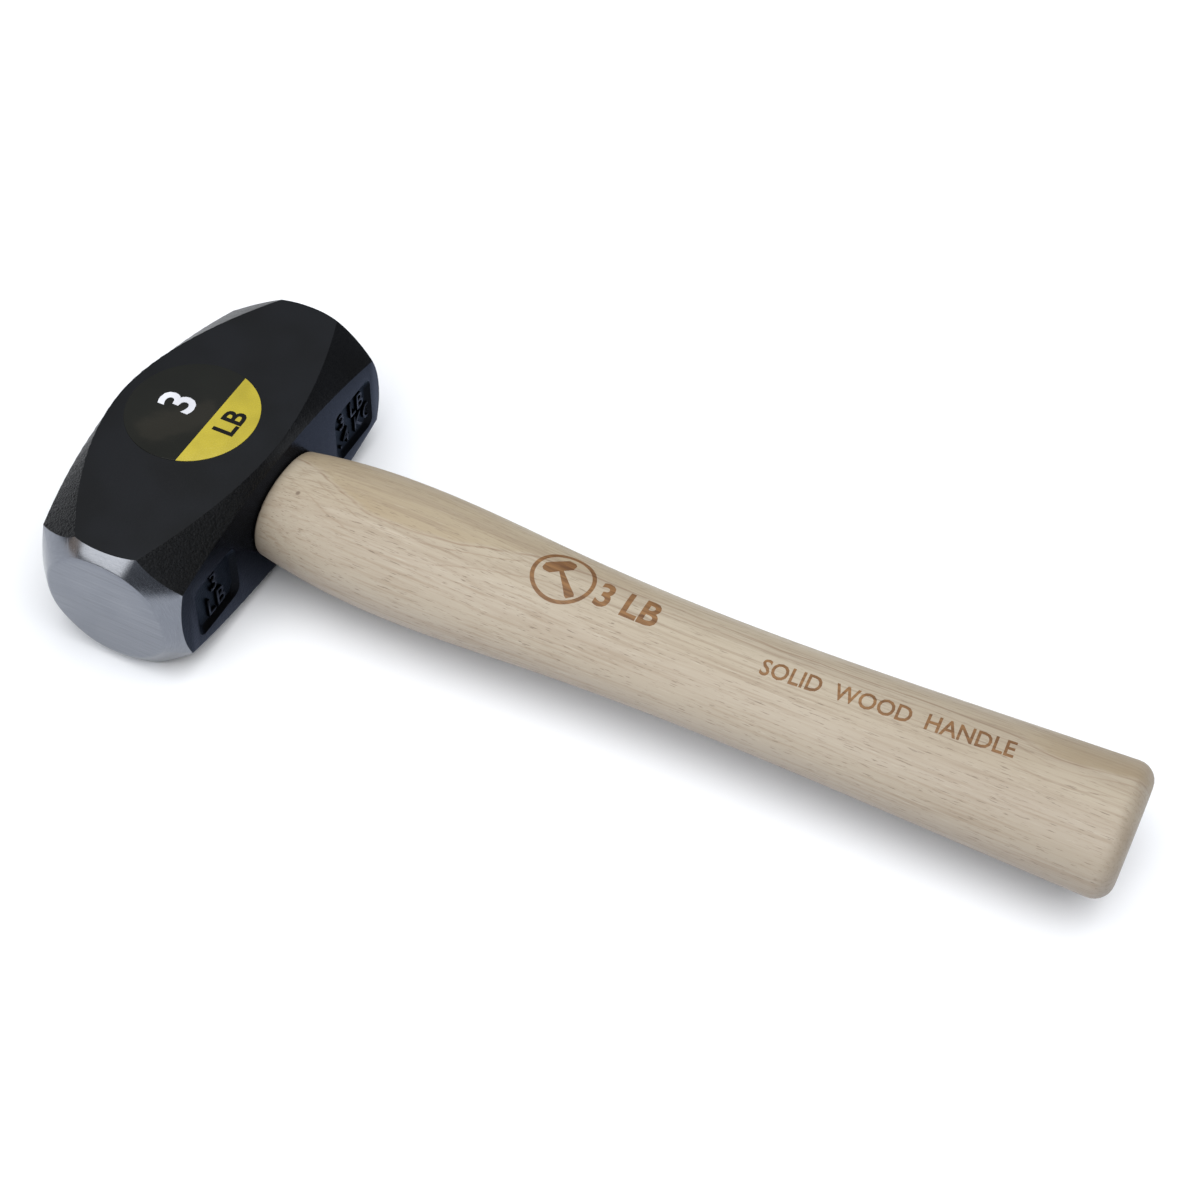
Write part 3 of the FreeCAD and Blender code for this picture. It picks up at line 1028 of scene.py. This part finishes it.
label_black = print_film("label_black", (0.007, 0.0075, 0.005), 0.10, 0.50, 0.35)
label_yellow = print_film("label_yellow", (0.43, 0.358, 0.031), 0.24, 0.25)
white_ink = print_film("white_ink", (0.68, 0.70, 0.76), 0.35, 0.1)
black_ink = print_film("black_ink", (0.004, 0.004, 0.004), 0.35, 0.1, 0.2)
print("films:", label_black.name, label_yellow.name, white_ink.name, black_ink.name)

# %% [markdown]
# The disc is a cylinder with its rim rounded. Bisect draws the line across it, and the faces on the
# handle's side of the line take the yellow. The print stands proud of the film by a hair.

# %% Lay the label
label_low, label_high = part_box("weight_label")
LABEL_CENTRE = (label_low + label_high) / 2
LABEL_RADIUS = (label_high.x - label_low.x) / 2
COLOUR_LINE = LABEL_CENTRE.x + 5.9 * MM
INK = 0.03 * MM
LABEL_ROUND = 0.08 * MM
FIGURE_HEIGHT = 10.2 * MM
UNIT_HEIGHT = 6.2 * MM


def make_label():
    bpy.ops.mesh.primitive_cylinder_add(vertices=128, radius=LABEL_RADIUS, location=LABEL_CENTRE,
                                        depth=label_high.z - label_low.z - INK)
    label = named("round_label", label_black)
    label.data.materials.append(label_yellow)
    label.data.transform(Matrix.Translation((0, 0, -INK / 2)))
    edit(label, "EDGE")
    choose_edges(label, lambda rim: all(end.co.z > LABEL_CENTRE.z - INK for end in rim.verts))
    bpy.ops.mesh.bevel(offset=LABEL_ROUND, segments=2)
    take_all()
    bpy.ops.mesh.bisect(plane_co=(COLOUR_LINE, 0, 0), plane_no=(1, 0, 0))
    leave_edit()
    for face in label.data.polygons:
        face.material_index = 1 if face.center.x > COLOUR_LINE else 0
    return label


def print_on_label(words, height, place, ink, name, weight):
    mark = lettering(words, height, name, thickness=INK, weight=weight)
    mark.data.materials.append(ink)
    merge_points(mark)
    move_to(mark, Vector((*place, label_high.z - INK / 2)), (0, 0, 90))
    return mark


label = make_label()
figure = print_on_label("3", FIGURE_HEIGHT, (-11.3 * MM, 2.6 * MM), white_ink, "label_figure",
                        0.28 * MM)
unit = print_on_label("LB", UNIT_HEIGHT, (5.2 * MM, 2.2 * MM), black_ink, "label_unit", 0.22 * MM)
put_in_service(label, "weight_label", 40)
for mark in (figure, unit):
    put_in_service(mark, None, 40)

# %% [markdown]
# ## Burned marks
# The handle is marked with a hot stamp: a small pictogram of a hammer in a ring, the head's weight,
# and a line that names the material. A flat mark is first cut into narrow pieces, so that it can
# bend. Shrinkwrap then drops it straight down onto the wood, and Solidify gives it a skin that ends
# inside the wood, so that it stays closed.

# %% Stamp the handle
STAMP_AT = Vector((116.0 * MM, 0.5 * MM, 0))
LINE_AT = Vector((197.0 * MM, -0.4 * MM, 0))
LINE_TILT = 2.8
STAMP_PIECE = 0.9 * MM
PIECE_STRETCH = 4
CHAR_DEPTH = 0.1 * MM
CHAR_LIFT = 0.03 * MM
ABOVE_HANDLE = 60 * MM


def flat_curve(name, outlines):
    """A filled flat shape. Each outline is a list of points; one inside another makes a hole."""
    data = bpy.data.curves.new(name, "CURVE")
    data.dimensions = "2D"
    data.fill_mode = "BOTH"
    for points in outlines:
        line = data.splines.new("POLY")
        line.points.add(len(points) - 1)
        for point, (x, y) in zip(line.points, points):
            point.co = (x, y, 0, 1)
        line.use_cyclic_u = True
    shape = bpy.data.objects.new(name, data)
    bpy.context.collection.objects.link(shape)
    pick(shape)
    bpy.ops.object.convert(target="MESH")
    return bpy.context.object


def circle(radius, count=72):
    return [(radius * math.cos(2 * math.pi * i / count), radius * math.sin(2 * math.pi * i / count))
            for i in range(count)]


def hammer_sign(radius, lean=40):
    """A hammer leaning in a ring. The outline's right half is mirrored, in shares of the radius."""
    half, low, high, corner = 0.52, 0.24, 0.66, 0.15
    right = [(0.12, -0.79), (0.15, -0.70), (0.11, -0.35), (0.07, low), (half - corner, low),
             (half, low + corner), (half, high - corner), (half - corner, high)]
    outline = right + [(-x, y) for x, y in reversed(right)]
    turn = Matrix.Rotation(math.radians(lean), 2) * radius
    drawn = [turn @ Vector(point) for point in outline]
    return flat_curve("stamp_sign", [circle(radius), circle(radius * 0.87), drawn])


def slice_up(mark):
    """Cuts a flat mark into a grid of small pieces, longer along the handle than across it."""
    corners = np.array([point.co[:2] for point in mark.data.vertices])
    low, high = corners.min(0), corners.max(0)
    edit(mark)
    for axis, normal in ((0, (1, 0, 0)), (1, (0, 1, 0))):
        step = STAMP_PIECE * (PIECE_STRETCH if axis == 0 else 1)
        for place in np.arange(low[axis] + step / 2, high[axis], step):
            take_all()
            bpy.ops.mesh.bisect(plane_co=Vector(normal) * place, plane_no=normal)
    leave_edit(outward=False)


def stamp(mark, place, tilt=0):
    merge_points(mark)
    move_to(mark, Vector((place.x, place.y, ABOVE_HANDLE)), (0, 0, tilt))
    slice_up(mark)
    finish_with(mark, "SHRINKWRAP", target=handle, wrap_method="PROJECT", use_project_z=True,
                use_negative_direction=True, use_positive_direction=False, offset=CHAR_LIFT)
    finish_with(mark, "SOLIDIFY", thickness=CHAR_DEPTH, offset=-1)
    mark.data.materials.append(burned_hickory)
    put_in_service(mark, None, 40)


stamp(hammer_sign(8.8 * MM), STAMP_AT + Vector((-9.8 * MM, 0.6 * MM, 0)))
stamp(lettering("3 LB", 8.2 * MM, "stamp_weight", weight=0.30 * MM, narrow=0.84),
      STAMP_AT + Vector((9.0 * MM, 0, 0)))
stamp(lettering("SOLID  WOOD  HANDLE", 5.2 * MM, "stamp_line", weight=0.12 * MM, narrow=0.80),
      LINE_AT, LINE_TILT)

# %% [markdown]
# ## Studio
# The hammer lies on its cheek on a plain white table. The camera stands on the near face's side,
# towards the butt, and looks down at about fifty degrees with a slightly long lens. Soft boxes
# light the hammer from above and from the sides. In reflections the room is dark at the walls and
# lighter overhead, and what the camera sees behind the table is one even grey.

# %% Table, camera and lights
CAMERA_AT = Vector((0.2700, -0.3383, 0.4712))
LOOK_AT = Vector((0.1138, 0.0080, 0.0209))
CAMERA_ROLL = math.radians(2.27)
CAMERA_LENS = 66.5
TABLE_SIZE = 60
TABLE_DROP = 0.05 * MM


def table_top():
    bpy.ops.mesh.primitive_plane_add(size=TABLE_SIZE, location=(0, 0, -TABLE_DROP))
    top = bpy.context.object
    top.name = "table_top"
    settle(top)
    material, tree, shader, place = blank_finish("white_table")
    cloud = speckle(tree, place, 3, 2.0)
    tree.links.new(blend_colours(tree, cloud, colour(0.89, 0.915, 0.955), colour(0.91, 0.935, 0.97)),
                   shader.inputs["Base Color"])
    shader.inputs["Roughness"].default_value = 0.8
    shader.inputs["Specular IOR Level"].default_value = 0.1
    top.data.materials.append(material)


def camera():
    bpy.ops.object.camera_add(location=CAMERA_AT)
    eye = bpy.context.object
    turn = (LOOK_AT - CAMERA_AT).to_track_quat("-Z", "Y")
    eye.rotation_mode = "QUATERNION"
    eye.rotation_quaternion = turn @ Matrix.Rotation(CAMERA_ROLL, 3, "Z").to_quaternion()
    eye.data.lens = CAMERA_LENS
    eye.data.sensor_width = 36
    eye.data.clip_start = 0.01
    bpy.context.scene.camera = eye


def soft_box(name, place, size, watts, tint):
    bpy.ops.object.light_add(type="AREA", location=place)
    lamp = bpy.context.object
    lamp.name = name
    lamp.data.shape = "RECTANGLE"
    lamp.data.size, lamp.data.size_y = size
    lamp.data.energy = watts
    lamp.data.color = tint
    lamp.rotation_mode = "QUATERNION"
    lamp.rotation_quaternion = (LOOK_AT - Vector(place)).to_track_quat("-Z", "Y")


def surroundings(tint, at_horizon, overhead, behind):
    """A grey room, dark at the walls and lighter at the ceiling, with an even backdrop."""
    world = bpy.data.worlds.new("studio")
    bpy.context.scene.world = world
    world.use_nodes = True
    tree = world.node_tree
    sky = tree.nodes["Background"]
    sky.inputs["Color"].default_value = colour(*tint)
    towards = link_in(tree, "TexCoord").outputs["Generated"]
    height = link_in(tree, "SeparateXYZ", {0: towards}).outputs["Z"]
    gradient = spread(tree, height, 0.0, 0.8, at_horizon, overhead)
    seen = link_in(tree, "LightPath").outputs["Is Camera Ray"]
    backdrop = link_in(tree, "Mix", {0: seen, 2: gradient, 3: behind}).outputs[0]
    tree.links.new(backdrop, sky.inputs["Strength"])


table_top()
camera()
soft_box("overhead", (0.30, -0.20, 1.30), (1.9, 1.6), 25, (1.0, 0.98, 0.95))
soft_box("front_window", (-0.40, -0.95, 0.42), (0.80, 0.55), 3.2, (1.0, 0.98, 0.94))
soft_box("warm_wall", (-0.92, -0.62, 0.16), (0.40, 0.34), 0.20, (1.0, 0.74, 0.52))
soft_box("warm_lamp", (-0.62, 0.60, 1.00), (0.50, 0.30), 0.16, (1.0, 0.82, 0.58))
surroundings(tint=(0.88, 0.92, 1.0), at_horizon=0.12, overhead=0.46, behind=0.38)
bpy.context.scene.view_settings.view_transform = "Standard"
print("studio ready, with the camera", round((CAMERA_AT - LOOK_AT).length, 2), "m away")
